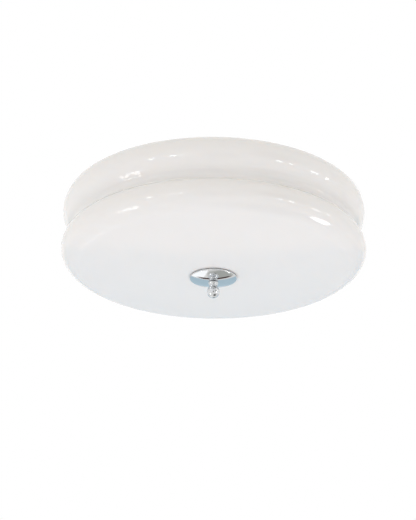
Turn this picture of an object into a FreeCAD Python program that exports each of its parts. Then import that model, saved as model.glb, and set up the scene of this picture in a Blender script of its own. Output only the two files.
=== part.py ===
"""Flush mount ceiling light: a two-bead opal glass drum held up by a chrome cap and ball finial.

Millimetres, +Z up. The origin lies in the ceiling plane, on the lamp's centre line, so every
piece hangs below z = 0. The three lampholders point outwards, 120 degrees apart.
"""
import FreeCAD, Part
import math
import os

import Sketcher
from FreeCAD import Placement, Rotation, Vector

doc = FreeCAD.newDocument("ceiling_light")

# Driving dimensions, one cell each

DIMENSIONS = {
    # glass drum, measured from the widest circle of its lower bead
    "shade_radius": 190.0,
    "lower_bead_radius": 19.2,
    "upper_bead_radius": 25.9,
    "bead_spacing": 50.7,
    "waist_radius": 8.9,
    "base_turn_radius": 30.0,
    "belly_radius": 1764.0,
    "belly_drop": 29.5,
    "shoulder_radius": 11.6,
    "shoulder_rise": 69.4,
    "collar_radius": 157.0,
    "collar_height": 2.1,
    "glass_wall": 3.2,
    "glass_hole_radius": 6.0,
    # ceiling pan
    "pan_rim_radius": 161.0,
    "pan_mouth_radius": 149.0,
    "pan_floor_radius": 143.0,
    "pan_depth": 23.0,
    "pan_sheet": 1.0,
    "pan_bend": 2.5,
    "rim_gasket_inner": 150.5,
    "rim_gasket_outer": 159.5,
    "rim_gasket_thick": 1.4,
    "running_gap": 0.3,
    # mounting strap
    "strap_half_length": 72.0,
    "strap_width": 25.0,
    "strap_thick": 2.0,
    "strap_step": 5.0,
    "strap_flat_half": 48.0,
    "slot_centre": 32.0,
    "slot_length": 18.0,
    "slot_width": 5.2,
    "cable_hole_radius": 8.0,
    "pan_screw_centre": 62.0,
    # threads and fasteners
    "rod_radius": 3.0,
    "rod_top": 13.5,
    "rod_clearance": 0.2,
    "hex_flats": 10.0,
    "hex_height": 5.0,
    "hex_small_flats": 7.0,
    "hex_small_height": 3.2,
    "lock_washer_radius": 5.8,
    "lock_washer_thick": 1.4,
    "stop_washer_radius": 9.0,
    "stop_washer_thick": 1.2,
    "small_screw_radius": 1.95,
    "small_hole_radius": 2.2,
    "small_head_radius": 3.6,
    "small_head_height": 2.4,
    "thumb_nut_radius": 5.5,
    "thumb_nut_height": 9.0,
    # finial, cap and the seals at the glass
    "bush_hub_radius": 5.7,
    "bush_flange_radius": 11.0,
    "bush_flange_thick": 1.5,
    "cap_washer_radius": 28.6,
    "cap_washer_thick": 0.6,
    "cap_radius": 29.1,
    "cap_lip": 1.9,
    "cap_dome": 4.3,
    "cap_wall": 0.8,
    "finial_ring_radius": 6.4,
    "finial_ring_thick": 3.0,
    "finial_neck_radius": 5.6,
    "finial_cove_radius": 5.0,
    "finial_ball_radius": 8.0,
    "finial_length": 21.0,
    "finial_bore_gap": 0.05,
    "finial_bore_depth": 10.0,
    "thread_engaged": 8.0,
    # lampholders, measured outwards from the centre line
    "holder_axis_drop": 52.0,
    "holder_back": 30.0,
    "holder_base_radius": 15.5,
    "holder_base_length": 8.0,
    "holder_skirt_radius": 20.0,
    "holder_mouth": 64.0,
    "holder_recess_radius": 14.8,
    "shell_radius": 14.3,
    "shell_wall": 0.5,
    "contact_head_radius": 3.2,
    "contact_head_thick": 1.4,
    "contact_pin_radius": 1.5,
    "contact_travel": 1.2,
    "contact_face": 41.0,
    "bracket_thick": 1.5,
    "bracket_width": 24.0,
    "bracket_foot": 27.0,
    "bracket_screw_out": 46.0,
    "bracket_below_axis": 14.5,
    "bracket_window_radius": 6.5,
    "holder_screw_side": 10.0,
    "lead_hole_out": 18.0,
    "lead_hole_radius": 5.2,
    # bulbs
    "bulb_cap_radius": 13.1,
    "bulb_thread_depth": 0.6,
    "bulb_thread_pitch": 3.63,
    "bulb_cap_end": 62.0,
    "bulb_collar_end": 84.0,
    "bulb_globe_radius": 22.5,
    "bulb_globe_wall": 1.2,
    "bulb_globe_out": 97.0,
    # wiring
    "lead_radius": 0.9,
    "lead_side": 2.0,
    "lead_spread": 1.3,
    "lead_first_level": 16.6,
    "lead_level_step": 2.7,
    "lead_in_block": 6.0,
    "block_front": 54.0,
    "block_length": 36.0,
    "block_depth": 20.0,
    "block_height": 13.5,
    "block_pitch": 11.0,
    "block_tunnel_radius": 2.6,
    "block_well_radius": 2.25,
    "block_tunnel_level": 6.1,
    "block_screw_side": 5.5,
    "earth_screw_x": 34.0,
    "earth_screw_y": 34.0,
}

HOLDER_ANGLES = (90.0, 210.0, 330.0)
SHELL_THREADS = 5
CONTACT_GAP = 0.1
SKIN_GAP = 0.05

sheet = doc.addObject("Spreadsheet::Sheet", "Dims")
for row, (alias, value) in enumerate(DIMENSIONS.items(), start=1):
    sheet.set(f"A{row}", alias.replace("_", " "))
    sheet.set(f"B{row}", str(value))
    sheet.setAlias(f"B{row}", alias)
doc.recompute()


class Size:
    """A length that knows its number and the spreadsheet expression it comes from."""

    def __init__(self, text, value):
        self.text = text
        self.value = value

    def joined(self, sign, other, value):
        """The size that an operator makes of this one and another."""
        return Size(f"({self.text} {sign} {as_size(other).text})", value)

    def __add__(self, other):
        return self.joined("+", other, self.value + as_size(other).value)

    def __sub__(self, other):
        return self.joined("-", other, self.value - as_size(other).value)

    def __mul__(self, other):
        return self.joined("*", other, self.value * as_size(other).value)

    def __truediv__(self, other):
        return self.joined("/", other, self.value / as_size(other).value)

    def __neg__(self):
        return Size(f"(-1 * {self.text})", -self.value)


def as_size(number):
    """A plain number as a size with no cell behind it."""
    return number if isinstance(number, Size) else Size(f"({number:.6f})", float(number))


def dim(alias):
    """The size held in one cell of the sheet."""
    return Size(f"Dims.{alias}", float(sheet.get(alias)))


def root(size):
    """The square root of a size, which stays tied to the sheet."""
    return Size(f"sqrt({size.text})", math.sqrt(size.value))


def mm(size):
    """The number of millimetres in a size."""
    return as_size(size).value


# Levels and distances that several pieces share

floor_top = -(dim("pan_depth") - dim("pan_sheet"))
floor_under = -dim("pan_depth")
glass_rim = -(dim("pan_sheet") + dim("rim_gasket_thick") + dim("running_gap"))
bead_level = glass_rim - dim("shoulder_rise") - dim("collar_height")
glass_under = bead_level - dim("belly_drop")
glass_inside = glass_under + dim("glass_wall")
cap_top = glass_under - dim("cap_washer_thick") - SKIN_GAP
cap_lip_end = cap_top - dim("cap_lip")
finial_top = cap_lip_end - dim("cap_dome")
rod_end = finial_top - dim("thread_engaged")
rod_hole = dim("rod_radius") + dim("rod_clearance")
holder_level = -dim("holder_axis_drop")

pieces = {}


# Ways of making a piece

def keep(obj, label):
    """Gives a sub-part the label that names its file."""
    obj.Label = label
    pieces[label] = obj
    return obj


def bind(obj, prop, size):
    """Ties one property of an object to the sheet."""
    obj.setExpression(prop, as_size(size).text)


def plane(body, role):
    """An origin plane or axis of a body."""
    return next(f for f in body.Origin.OriginFeatures if f.Role == role)


def new_sketch(body, name, role, offset=None):
    """A sketch on one of the body's own origin planes, moved along its normal by a size."""
    sketch = body.newObject("Sketcher::SketchObject", name)
    sketch.AttachmentSupport = [(plane(body, role), "")]
    sketch.MapMode = "FlatFace"
    if offset is not None:
        bind(sketch, "AttachmentOffset.Base.z", offset)
    return sketch


def hold_point(sketch, index, end, point):
    """Places one end of a sketch element from the origin, tied to the sheet."""
    for kind, size in zip(("DistanceX", "DistanceY"), point):
        if abs(mm(size)) < 1e-9:
            axis = -2 if kind == "DistanceX" else -1
            sketch.addConstraint(Sketcher.Constraint("PointOnObject", index, end, axis))
        else:
            number = sketch.addConstraint(
                Sketcher.Constraint(kind, -1, 1, index, end, mm(size)))
            bind(sketch, f"Constraints[{number}]", size)


def add_arc(sketch, centre, start, end, ccw):
    """Adds an arc about a centre and returns which of its ends come first and last along it."""
    first, last = (start, end) if ccw else (end, start)
    low = math.atan2(first.y - centre.y, first.x - centre.x)
    high = math.atan2(last.y - centre.y, last.x - centre.x)
    if high <= low:
        high += 2 * math.pi
    circle = Part.Circle(centre, Vector(0, 0, 1), (first - centre).Length)
    sketch.addGeometry(Part.ArcOfCircle(circle, low, high), False)
    return (1, 2) if ccw else (2, 1)


def outline(sketch, points, arcs=None):
    """A closed outline through the points. arcs maps a segment's number to (radius, bulge):
    a bulge of 1 bows to the left of the way the outline runs, and -1 to the right."""
    arcs = arcs or {}
    places = [Vector(mm(x), mm(y), 0) for x, y in points]
    count = len(places)
    ends = []
    about_axis = set()
    for i, start in enumerate(places):
        end = places[(i + 1) % count]
        if i in arcs:
            radius, bulge = arcs[i]
            chord = end - start
            left = Vector(-chord.y, chord.x, 0).normalize()
            reach = math.sqrt(max(mm(radius) ** 2 - (chord.Length / 2) ** 2, 0.0))
            centre = (start + end) * 0.5 - left * (reach * bulge)
            if abs(centre.x) < 1e-3:
                centre.x = 0.0
                about_axis.add(i)
            ends.append(add_arc(sketch, centre, start, end, bulge < 0))
        else:
            sketch.addGeometry(Part.LineSegment(start, end), False)
            ends.append((1, 2))
    for i in range(count):
        before = (i - 1) % count
        sketch.addConstraint(Sketcher.Constraint("Coincident", before, ends[before][1], i, ends[i][0]))
    for i in range(count):
        hold_point(sketch, i, ends[i][0], points[i])
        if i in about_axis:
            sketch.addConstraint(Sketcher.Constraint("PointOnObject", i, 3, -2))
        elif i in arcs:
            number = sketch.addConstraint(Sketcher.Constraint("Radius", i, mm(arcs[i][0])))
            bind(sketch, f"Constraints[{number}]", arcs[i][0])
    return sketch


def turned(label, points, arcs=None):
    """A body turned about its own Z axis from an outline of (radius, height) points."""
    body = doc.addObject("PartDesign::Body", label)
    sketch = outline(new_sketch(body, label + "_outline", "XZ_Plane"), points, arcs)
    doc.recompute()
    turn = body.newObject("PartDesign::Revolution", label + "_turn")
    turn.Profile = sketch
    turn.ReferenceAxis = (sketch, ["V_Axis"])
    turn.Angle = 360.0
    doc.recompute()
    return keep(body, label)


def drilled(body, name, spots, radius, level, depth):
    """Cuts round holes straight down from a level, at a list of (x, y) spots."""
    sketch = new_sketch(body, name + "_sketch", "XY_Plane", level)
    for i, spot in enumerate(spots):
        sketch.addGeometry(Part.Circle(Vector(mm(spot[0]), mm(spot[1]), 0), Vector(0, 0, 1), mm(radius)))
        hold_point(sketch, i, 3, spot)
        number = sketch.addConstraint(Sketcher.Constraint("Radius", i, mm(radius)))
        bind(sketch, f"Constraints[{number}]", radius)
    doc.recompute()
    before = body.Shape.Volume
    cut = body.newObject("PartDesign::Pocket", name)
    cut.Profile = sketch
    bind(cut, "Length", depth)
    doc.recompute()
    if body.Shape.Volume >= before - 1e-6:
        raise RuntimeError(f"{name} cuts nothing")
    return cut


def slotted(body, name, centre, length, width, level, depth):
    """Cuts a round-ended slot along X straight down from a level."""
    sketch = new_sketch(body, name + "_sketch", "XY_Plane", level)
    r = width / 2
    reach = length / 2 - r
    left, right = mm(centre - reach), mm(centre + reach)
    low, high = -mm(r), mm(r)
    sketch.addGeometry(Part.LineSegment(Vector(left, low, 0), Vector(right, low, 0)), False)
    add_arc(sketch, Vector(right, 0, 0), Vector(right, low, 0), Vector(right, high, 0), True)
    sketch.addGeometry(Part.LineSegment(Vector(right, high, 0), Vector(left, high, 0)), False)
    add_arc(sketch, Vector(left, 0, 0), Vector(left, high, 0), Vector(left, low, 0), True)
    for i in range(4):
        sketch.addConstraint(Sketcher.Constraint("Tangent", i, 2, (i + 1) % 4, 1))
    hold_point(sketch, 1, 3, (centre + reach, as_size(0)))
    hold_point(sketch, 3, 3, (centre - reach, as_size(0)))
    number = sketch.addConstraint(Sketcher.Constraint("Radius", 1, mm(r)))
    bind(sketch, f"Constraints[{number}]", r)
    doc.recompute()
    cut = body.newObject("PartDesign::Pocket", name)
    cut.Profile = sketch
    bind(cut, "Length", depth)
    doc.recompute()
    return cut


def rounded(body, name, radius, wanted):
    """Rounds the edges of the body's last shape for which wanted(edge) is true."""
    base = body.Tip
    edges = [f"Edge{i + 1}" for i, e in enumerate(base.Shape.Edges) if wanted(e)]
    fillet = body.newObject("PartDesign::Fillet", name)
    fillet.Base = (base, edges)
    bind(fillet, "Radius", radius)
    doc.recompute()
    return fillet


def circle_at(radius, height):
    """A test for the full circle of that radius at that height about the Z axis."""
    def test(edge):
        curve = edge.Curve
        if not isinstance(curve, Part.Circle):
            return False
        level = curve.Center.z
        return abs(curve.Radius - mm(radius)) < 1e-3 and abs(level - mm(height)) < 1e-3
    return test


def cylinder(name, radius, height, base, direction=Vector(0, 0, 1)):
    """A Part cylinder standing at a place, along a direction."""
    made = doc.addObject("Part::Cylinder", name)
    bind(made, "Radius", radius)
    bind(made, "Height", height)
    made.Placement = Placement(Vector(*[mm(v) for v in base]), Rotation(Vector(0, 0, 1), direction))
    return made


def cut_away(label, base, tools):
    """Base less its tools, as a Part::Cut."""
    tool = tools[0]
    if len(tools) > 1:
        tool = doc.addObject("Part::MultiFuse", label + "_tools")
        tool.Shapes = tools
    made = doc.addObject("Part::Cut", label)
    made.Base = base
    made.Tool = tool
    doc.recompute()
    return made


def joined(label, shapes):
    """Several shapes as one, as a Part::MultiFuse."""
    made = doc.addObject("Part::MultiFuse", label)
    made.Shapes = shapes
    doc.recompute()
    return made


def hexagon(name, flats, height, base):
    """A hexagonal bar of that width across its flats, standing at a place."""
    made = doc.addObject("Part::Prism", name)
    made.Polygon = 6
    bind(made, "Circumradius", flats / math.sqrt(3.0))
    bind(made, "Height", height)
    made.Placement = Placement(Vector(*[mm(v) for v in base]), Rotation())
    return made


def hex_nut(name, flats, height, hole, base):
    """A hexagonal nut with its faces dressed by a shallow cone, standing at a place."""
    prism = hexagon(name + "_blank", flats, height, base)
    low = Vector(*[mm(v) for v in base])
    cone = doc.addObject("Part::Cone", name + "_chamfer")
    bind(cone, "Radius1", flats / math.sqrt(3.0))
    bind(cone, "Radius2", flats * 0.47)
    bind(cone, "Height", height)
    cone.Placement = Placement(low, Rotation())
    dressed = doc.addObject("Part::Common", name + "_dressed")
    dressed.Base = prism
    dressed.Tool = cone
    bore = cylinder(name + "_bore", hole, height + 2, (base[0], base[1], base[2] - 1))
    return cut_away(name, dressed, [bore])


def ring(name, outer, inner, thick, base):
    """A flat washer standing at a place."""
    disc = cylinder(name + "_disc", outer, thick, base)
    hole = cylinder(name + "_hole", inner, thick + 2, (base[0], base[1], base[2] - 1))
    return cut_away(name, disc, [hole])


def pan_head_screw(name, head_base, head_up, length):
    """A slotted screw whose head stands on head_base and whose shank runs the other way."""
    x, y, z = head_base
    head_height = dim("small_head_height")
    low = z if head_up else z - head_height
    head = cylinder(name + "_head", dim("small_head_radius"), head_height, (x, y, low))
    shank_base = z - length if head_up else z
    shank = cylinder(name + "_shank", dim("small_screw_radius"), length, (x, y, shank_base))
    whole = joined(name + "_blank", [head, shank])
    slot = doc.addObject("Part::Box", name + "_slot")
    bind(slot, "Length", dim("small_head_radius") * 2 + 2)
    slot.Width = 0.9
    slot.Height = 1.1
    slot_level = mm(low + head_height) - 1.1 if head_up else mm(low)
    slot.Placement.Base = Vector(mm(x) - mm(dim("small_head_radius")) - 1, mm(y) - 0.45, slot_level)
    return cut_away(name, whole, [slot])


def group(label, members):
    """Identical pieces as one sub-part of separate solids."""
    made = doc.addObject("Part::Compound", label)
    made.Links = members
    doc.recompute()
    return keep(made, label)


def outward(angle, distance, side=0.0, level=0.0):
    """The place at a distance from the centre line in the direction of angle, moved to its side."""
    a = math.radians(angle)
    d, s = mm(distance), mm(side)
    return Vector(d * math.cos(a) - s * math.sin(a), d * math.sin(a) + s * math.cos(a), mm(level))


def lay_outward(body, angle):
    """Turns a body's own Z axis to point outwards at the lampholders' level."""
    direction = outward(angle, 1.0)
    body.Placement = Placement(Vector(0, 0, mm(holder_level)), Rotation(Vector(0, 0, 1), direction))


# Glass drum

def centre_between(fixed_centre, fixed_gap, other_centre, other_gap, outermost):
    """The centre at the given distances from two centres, the outer or the inner of the two."""
    span = other_centre - fixed_centre
    along = (fixed_gap ** 2 - other_gap ** 2 + span.Length ** 2) / (2 * span.Length)
    across = math.sqrt(fixed_gap ** 2 - along ** 2)
    u = span * (1 / span.Length)
    v = Vector(u.y, -u.x, 0)
    first = fixed_centre + u * along + v * across
    second = fixed_centre + u * along - v * across
    inner, outer = sorted((first, second), key=lambda p: p.x)
    return outer if outermost else inner


def glass_shade():
    """The drum: two round beads, a waist between them and a gently domed bottom."""
    wall = dim("glass_wall")
    lower_r, upper_r = dim("lower_bead_radius"), dim("upper_bead_radius")
    waist_r, turn_r = dim("waist_radius"), dim("base_turn_radius")
    belly_r, shoulder_r = dim("belly_radius"), dim("shoulder_radius")
    lower = (dim("shade_radius") - lower_r, bead_level)
    upper = (dim("shade_radius") - upper_r, bead_level + dim("bead_spacing"))
    shoulder_level = bead_level + dim("shoulder_rise")

    low_c = Vector(mm(lower[0]), mm(lower[1]), 0)
    up_c = Vector(mm(upper[0]), mm(upper[1]), 0)
    waist_c = centre_between(low_c, mm(lower_r + waist_r), up_c, mm(upper_r + waist_r), True)
    belly_c = Vector(0, mm(glass_under + belly_r), 0)
    turn_c = centre_between(low_c, mm(turn_r - lower_r), belly_c, mm(belly_r - turn_r), False)
    rise = mm(shoulder_level - shoulder_r) - up_c.y
    reach = math.sqrt(mm(upper_r - shoulder_r) ** 2 - rise ** 2)
    shoulder_c = up_c + Vector(reach, rise, 0)
    centres = (belly_c, turn_c, low_c, waist_c, up_c, shoulder_c)
    swells = (True, True, True, False, True, True)
    radii = (belly_r, turn_r, lower_r, waist_r, upper_r, shoulder_r)
    joints = (
        Vector(0, -1, 0), (turn_c - belly_c).normalize(), (low_c - turn_c).normalize(),
        (waist_c - low_c).normalize(), (up_c - waist_c).normalize() * -1,
        (shoulder_c - up_c).normalize(), Vector(0, 1, 0),
    )

    def skin(inset):
        """The arcs of one face of the wall, each with its centre, radius, ends and sense."""
        runs = []
        for i, (centre, swell, radius) in enumerate(zip(centres, swells, radii)):
            size = radius - inset if swell else radius + inset
            from_here = joints[i] if swell else joints[i] * -1
            to_there = joints[i + 1] if swell else joints[i + 1] * -1
            if i == 4:
                from_here = (waist_c - up_c).normalize()
            runs.append((centre, size, centre + from_here * mm(size), centre + to_there * mm(size), swell))
        return runs

    outer = skin(as_size(0))
    inner = [(c, r, end, start, not ccw) for c, r, start, end, ccw in reversed(skin(wall))]
    collar, mouth = dim("collar_radius"), dim("collar_radius") - wall
    rim = mm(glass_rim)
    body = doc.addObject("PartDesign::Body", "glass_shade")
    sketch = new_sketch(body, "glass_outline", "XZ_Plane")
    ends = []

    def add_lines(*corners):
        """Straight runs through the corners."""
        for start, end in zip(corners, corners[1:]):
            sketch.addGeometry(Part.LineSegment(start, end), False)
            ends.append((1, 2))

    for centre, _, start, end, ccw in outer:
        ends.append(add_arc(sketch, centre, start, end, ccw))
    add_lines(outer[-1][3], Vector(mm(collar), mm(shoulder_level), 0), Vector(mm(collar), rim, 0),
              Vector(mm(mouth), rim, 0), Vector(mm(mouth), mm(shoulder_level - wall), 0), inner[0][2])
    for centre, _, start, end, ccw in inner:
        ends.append(add_arc(sketch, centre, start, end, ccw))
    add_lines(inner[-1][3], outer[0][2])

    add = sketch.addConstraint
    count = len(ends)
    for i in range(count):
        after = (i + 1) % count
        smooth = i < 6 or 10 <= i < 16
        kind = "Tangent" if smooth else "Coincident"
        add(Sketcher.Constraint(kind, i, ends[i][1], after, ends[after][0]))
    for index in (6, 8, 10):
        add(Sketcher.Constraint("Horizontal", index))
    for index in (7, 9, 17):
        add(Sketcher.Constraint("Vertical", index))
    add(Sketcher.Constraint("PointOnObject", 17, 2, -2))
    add(Sketcher.Constraint("PointOnObject", 0, 3, -2))
    for i in range(6):
        add(Sketcher.Constraint("Coincident", i, 3, 16 - i, 3))
        number = add(Sketcher.Constraint("Radius", i, mm(radii[i])))
        bind(sketch, f"Constraints[{number}]", radii[i])
    hold_point(sketch, 2, 3, lower)
    hold_point(sketch, 4, 3, upper)
    for index, end, kind, size in (
        (7, 1, "DistanceX", collar), (9, 1, "DistanceX", mouth),
        (7, 1, "DistanceY", shoulder_level), (7, 2, "DistanceY", glass_rim),
        (17, 2, "DistanceY", glass_under), (17, 1, "DistanceY", glass_inside),
    ):
        number = add(Sketcher.Constraint(kind, -1, 1, index, end, mm(size)))
        bind(sketch, f"Constraints[{number}]", size)
    doc.recompute()
    turn = body.newObject("PartDesign::Revolution", "glass_turn")
    turn.Profile = sketch
    turn.ReferenceAxis = (sketch, ["V_Axis"])
    turn.Angle = 360.0
    doc.recompute()
    drilled(body, "rod_hole_in_glass", [(0, 0)], dim("glass_hole_radius"), glass_inside + 5, 20)
    keep(body, "glass_shade")


# Ceiling pan and what fixes it

def ceiling_pan():
    """A pressed dish: a flange at the ceiling, a sloping wall and a flat floor."""
    t = dim("pan_sheet")
    slope_in = t * 0.9
    points = [
        (rod_hole, floor_under),
        (dim("pan_floor_radius"), floor_under),
        (dim("pan_mouth_radius"), -t),
        (dim("pan_rim_radius"), -t),
        (dim("pan_rim_radius"), as_size(0)),
        (dim("pan_mouth_radius") - slope_in, as_size(0)),
        (dim("pan_floor_radius") - slope_in, floor_top),
        (rod_hole, floor_top),
    ]
    body = turned("ceiling_pan", points)
    bend = dim("pan_bend")
    inner_bend = bend - t
    rounded(body, "pan_outer_bends", bend, circle_at(points[1][0], points[1][1]))
    rounded(body, "pan_inner_bends", inner_bend, circle_at(points[6][0], points[6][1]))
    rounded(body, "pan_rim_bend", inner_bend, circle_at(points[2][0], points[2][1]))
    rounded(body, "pan_mouth_bend", bend, circle_at(points[5][0], points[5][1]))
    above = floor_top + 1
    depth = dim("pan_sheet") + 2
    small = dim("small_hole_radius")
    drilled(body, "pan_screw_holes", [(dim("pan_screw_centre"), 0), (-dim("pan_screw_centre"), 0)],
            small, above, depth)
    lead_spots = [outward(a, dim("lead_hole_out")) for a in HOLDER_ANGLES]
    drilled(body, "lead_holes", [(p.x, p.y) for p in lead_spots], dim("lead_hole_radius"), above, depth)
    foot_spots = [outward(a, dim("bracket_screw_out")) for a in HOLDER_ANGLES]
    drilled(body, "bracket_screw_holes", [(p.x, p.y) for p in foot_spots], small, above, depth)
    drilled(body, "earth_screw_hole", [(dim("earth_screw_x"), dim("earth_screw_y"))], small, above, depth)
    block_side, block_middle = dim("block_screw_side"), dim("block_front") + dim("block_depth") / 2
    drilled(body, "block_screw_holes", [(block_side, block_middle), (-block_side, block_middle)],
            as_size(1.6), above, depth)


def mounting_strap():
    """A galvanised bar, stepped down at both ends so that the pan's screw heads clear the ceiling."""
    half, flat = dim("strap_half_length"), dim("strap_flat_half")
    t, step = dim("strap_thick"), dim("strap_step")
    bend = flat + step
    zero = as_size(0)
    right = [(flat, zero), (bend, -step), (half, -step), (half, -(step + t)),
             (bend - t / 2, -(step + t)), (flat - t / 2, -t)]
    left = [(-x, z) for x, z in reversed(right)]
    body = doc.addObject("PartDesign::Body", "mounting_strap")
    sketch = outline(new_sketch(body, "strap_outline", "XZ_Plane"), right + left)
    doc.recompute()
    bar = body.newObject("PartDesign::Pad", "strap_bar")
    bar.Profile = sketch
    bar.Midplane = True
    bind(bar, "Length", dim("strap_width"))
    doc.recompute()
    above = as_size(1)
    depth = step + t + 2
    drilled(body, "cable_hole", [(0, 0)], dim("cable_hole_radius"), above, depth)
    drilled(body, "strap_screw_holes", [(dim("pan_screw_centre"), 0), (-dim("pan_screw_centre"), 0)],
            dim("small_screw_radius") + SKIN_GAP, above, depth)
    for name, centre in (("right_slot", dim("slot_centre")), ("left_slot", -dim("slot_centre"))):
        slotted(body, name, centre, dim("slot_length"), dim("slot_width"), above, depth)
    keep(body, "mounting_strap")


def pan_fixings():
    """Two screws hang from the strap's ends, and two domed thumb nuts draw the pan up on them."""
    screws = []
    nuts = []
    for side, x in (("right", dim("pan_screw_centre")), ("left", -dim("pan_screw_centre"))):
        head = (x, as_size(0), -dim("strap_step"))
        length = dim("pan_depth") - dim("strap_step") + dim("thumb_nut_height") * 0.6
        screws.append(pan_head_screw(f"pan_screw_{side}", head, True, length))
        r, h = dim("thumb_nut_radius"), dim("thumb_nut_height")
        skirt = cylinder(f"thumb_nut_{side}_skirt", r, h * 0.45, (x, 0, floor_under - h * 0.45))
        stem = cylinder(f"thumb_nut_{side}_stem", r * 0.72, h * 0.55, (x, 0, floor_under - h * 0.78))
        dome = doc.addObject("Part::Sphere", f"thumb_nut_{side}_dome")
        bind(dome, "Radius", r * 0.72)
        dome.Placement.Base = Vector(mm(x), 0, mm(floor_under - h * 0.78) + 1.6)
        whole = joined(f"thumb_nut_{side}_blank", [skirt, stem, dome])
        bore = cylinder(f"thumb_nut_{side}_bore", dim("small_screw_radius") + SKIN_GAP, h * 0.7,
                        (x, 0, floor_under - h * 0.7))
        nuts.append(cut_away(f"thumb_nut_{side}", whole, [bore]))
    group("pan_screws", screws)
    group("pan_thumb_nuts", nuts)


def rim_gasket():
    """A foam ring under the pan's flange, which the glass collar meets."""
    keep(ring("rim_gasket", dim("rim_gasket_outer"), dim("rim_gasket_inner"), dim("rim_gasket_thick"),
              (0, 0, -(dim("pan_sheet") + dim("rim_gasket_thick")))), "rim_gasket")


# Hanger rod and the stack at the glass

def hanger_rod():
    """The threaded rod from the pan's floor to the finial, with its nuts and washers."""
    length = -rod_end - dim("rod_top")
    rod = cylinder("rod_blank", dim("rod_radius"), length, (0, 0, rod_end))
    doc.recompute()
    ends = doc.addObject("Part::Chamfer", "hanger_rod")
    ends.Base = rod
    rims = [i + 1 for i, e in enumerate(rod.Shape.Edges) if isinstance(e.Curve, Part.Circle)]
    ends.Edges = [(i, 0.6, 0.6) for i in rims]
    doc.recompute()
    keep(ends, "hanger_rod")
    washer, nut = dim("lock_washer_thick"), dim("hex_height")
    thread = dim("rod_radius") + SKIN_GAP
    group("rod_lock_washers", [
        ring("upper_lock_washer", dim("lock_washer_radius"), rod_hole, washer, (0, 0, floor_top)),
        ring("lower_lock_washer", dim("lock_washer_radius"), rod_hole, washer, (0, 0, floor_under - washer)),
    ])
    group("rod_nuts", [
        hex_nut("upper_rod_nut", dim("hex_flats"), nut, thread, (0, 0, floor_top + washer)),
        hex_nut("lower_rod_nut", dim("hex_flats"), nut, thread, (0, 0, floor_under - washer - nut)),
    ])
    bush_top = glass_inside + dim("bush_flange_thick") + CONTACT_GAP
    stop = bush_top + dim("running_gap")
    keep(ring("stop_washer", dim("stop_washer_radius"), rod_hole, dim("stop_washer_thick"), (0, 0, stop)),
         "stop_washer")
    keep(hex_nut("stop_nut", dim("hex_flats"), nut, thread, (0, 0, stop + dim("stop_washer_thick"))),
         "stop_nut")


def glass_seals():
    """A flanged bush in the hole of the glass, and the flat washer under the cap's rim."""
    hole = rod_hole + CONTACT_GAP
    seat = glass_inside + CONTACT_GAP
    turned("glass_bush", [
        (hole, glass_under), (dim("bush_hub_radius"), glass_under), (dim("bush_hub_radius"), seat),
        (dim("bush_flange_radius"), seat), (dim("bush_flange_radius"), seat + dim("bush_flange_thick")),
        (hole, seat + dim("bush_flange_thick")),
    ])
    keep(ring("cap_washer", dim("cap_washer_radius"), hole, dim("cap_washer_thick"),
              (0, 0, cap_top)), "cap_washer")


def finial_cap():
    """A spun dome with a short upright lip and a hole for the rod."""
    r, wall, depth = dim("cap_radius"), dim("cap_wall"), dim("cap_dome")
    outer = (r * r + depth * depth) / (depth * 2)
    inner_r = r - wall
    inner_depth = depth
    inner = (inner_r * inner_r + inner_depth * inner_depth) / (inner_depth * 2)
    sag_out = outer - root(outer * outer - rod_hole * rod_hole)
    sag_in = inner - root(inner * inner - rod_hole * rod_hole)
    lip_in = cap_lip_end + wall
    turned("finial_cap", [
        (rod_hole, finial_top + sag_out), (r, cap_lip_end), (r, cap_top), (inner_r, cap_top),
        (inner_r, lip_in), (rod_hole, finial_top + wall + sag_in),
    ], {0: (outer, -1), 4: (inner, 1)})


def finial_knob():
    """A turned knob: a rounded ring, a hollowed neck and a ball, bored for the rod."""
    top = finial_top - CONTACT_GAP
    ring_t, swell = dim("finial_ring_thick"), dim("finial_ring_radius") - dim("finial_neck_radius")
    neck, ball = dim("finial_neck_radius"), dim("finial_ball_radius")
    bottom = finial_top - dim("finial_length")
    meet = bottom + ball + root(ball * ball - neck * neck)
    bore = dim("rod_radius") + dim("finial_bore_gap")
    ring_arc = (ring_t * ring_t / 4 + swell * swell) / (swell * 2)
    turned("finial_knob", [
        (as_size(0), bottom), (neck, meet), (neck, top - ring_t), (neck, top),
        (bore, top), (bore, top - dim("finial_bore_depth")), (as_size(0), top - dim("finial_bore_depth")),
    ], {0: (ball, -1), 1: (dim("finial_cove_radius"), 1), 2: (ring_arc, -1)})


# Lampholders, their brackets and bulbs

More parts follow.
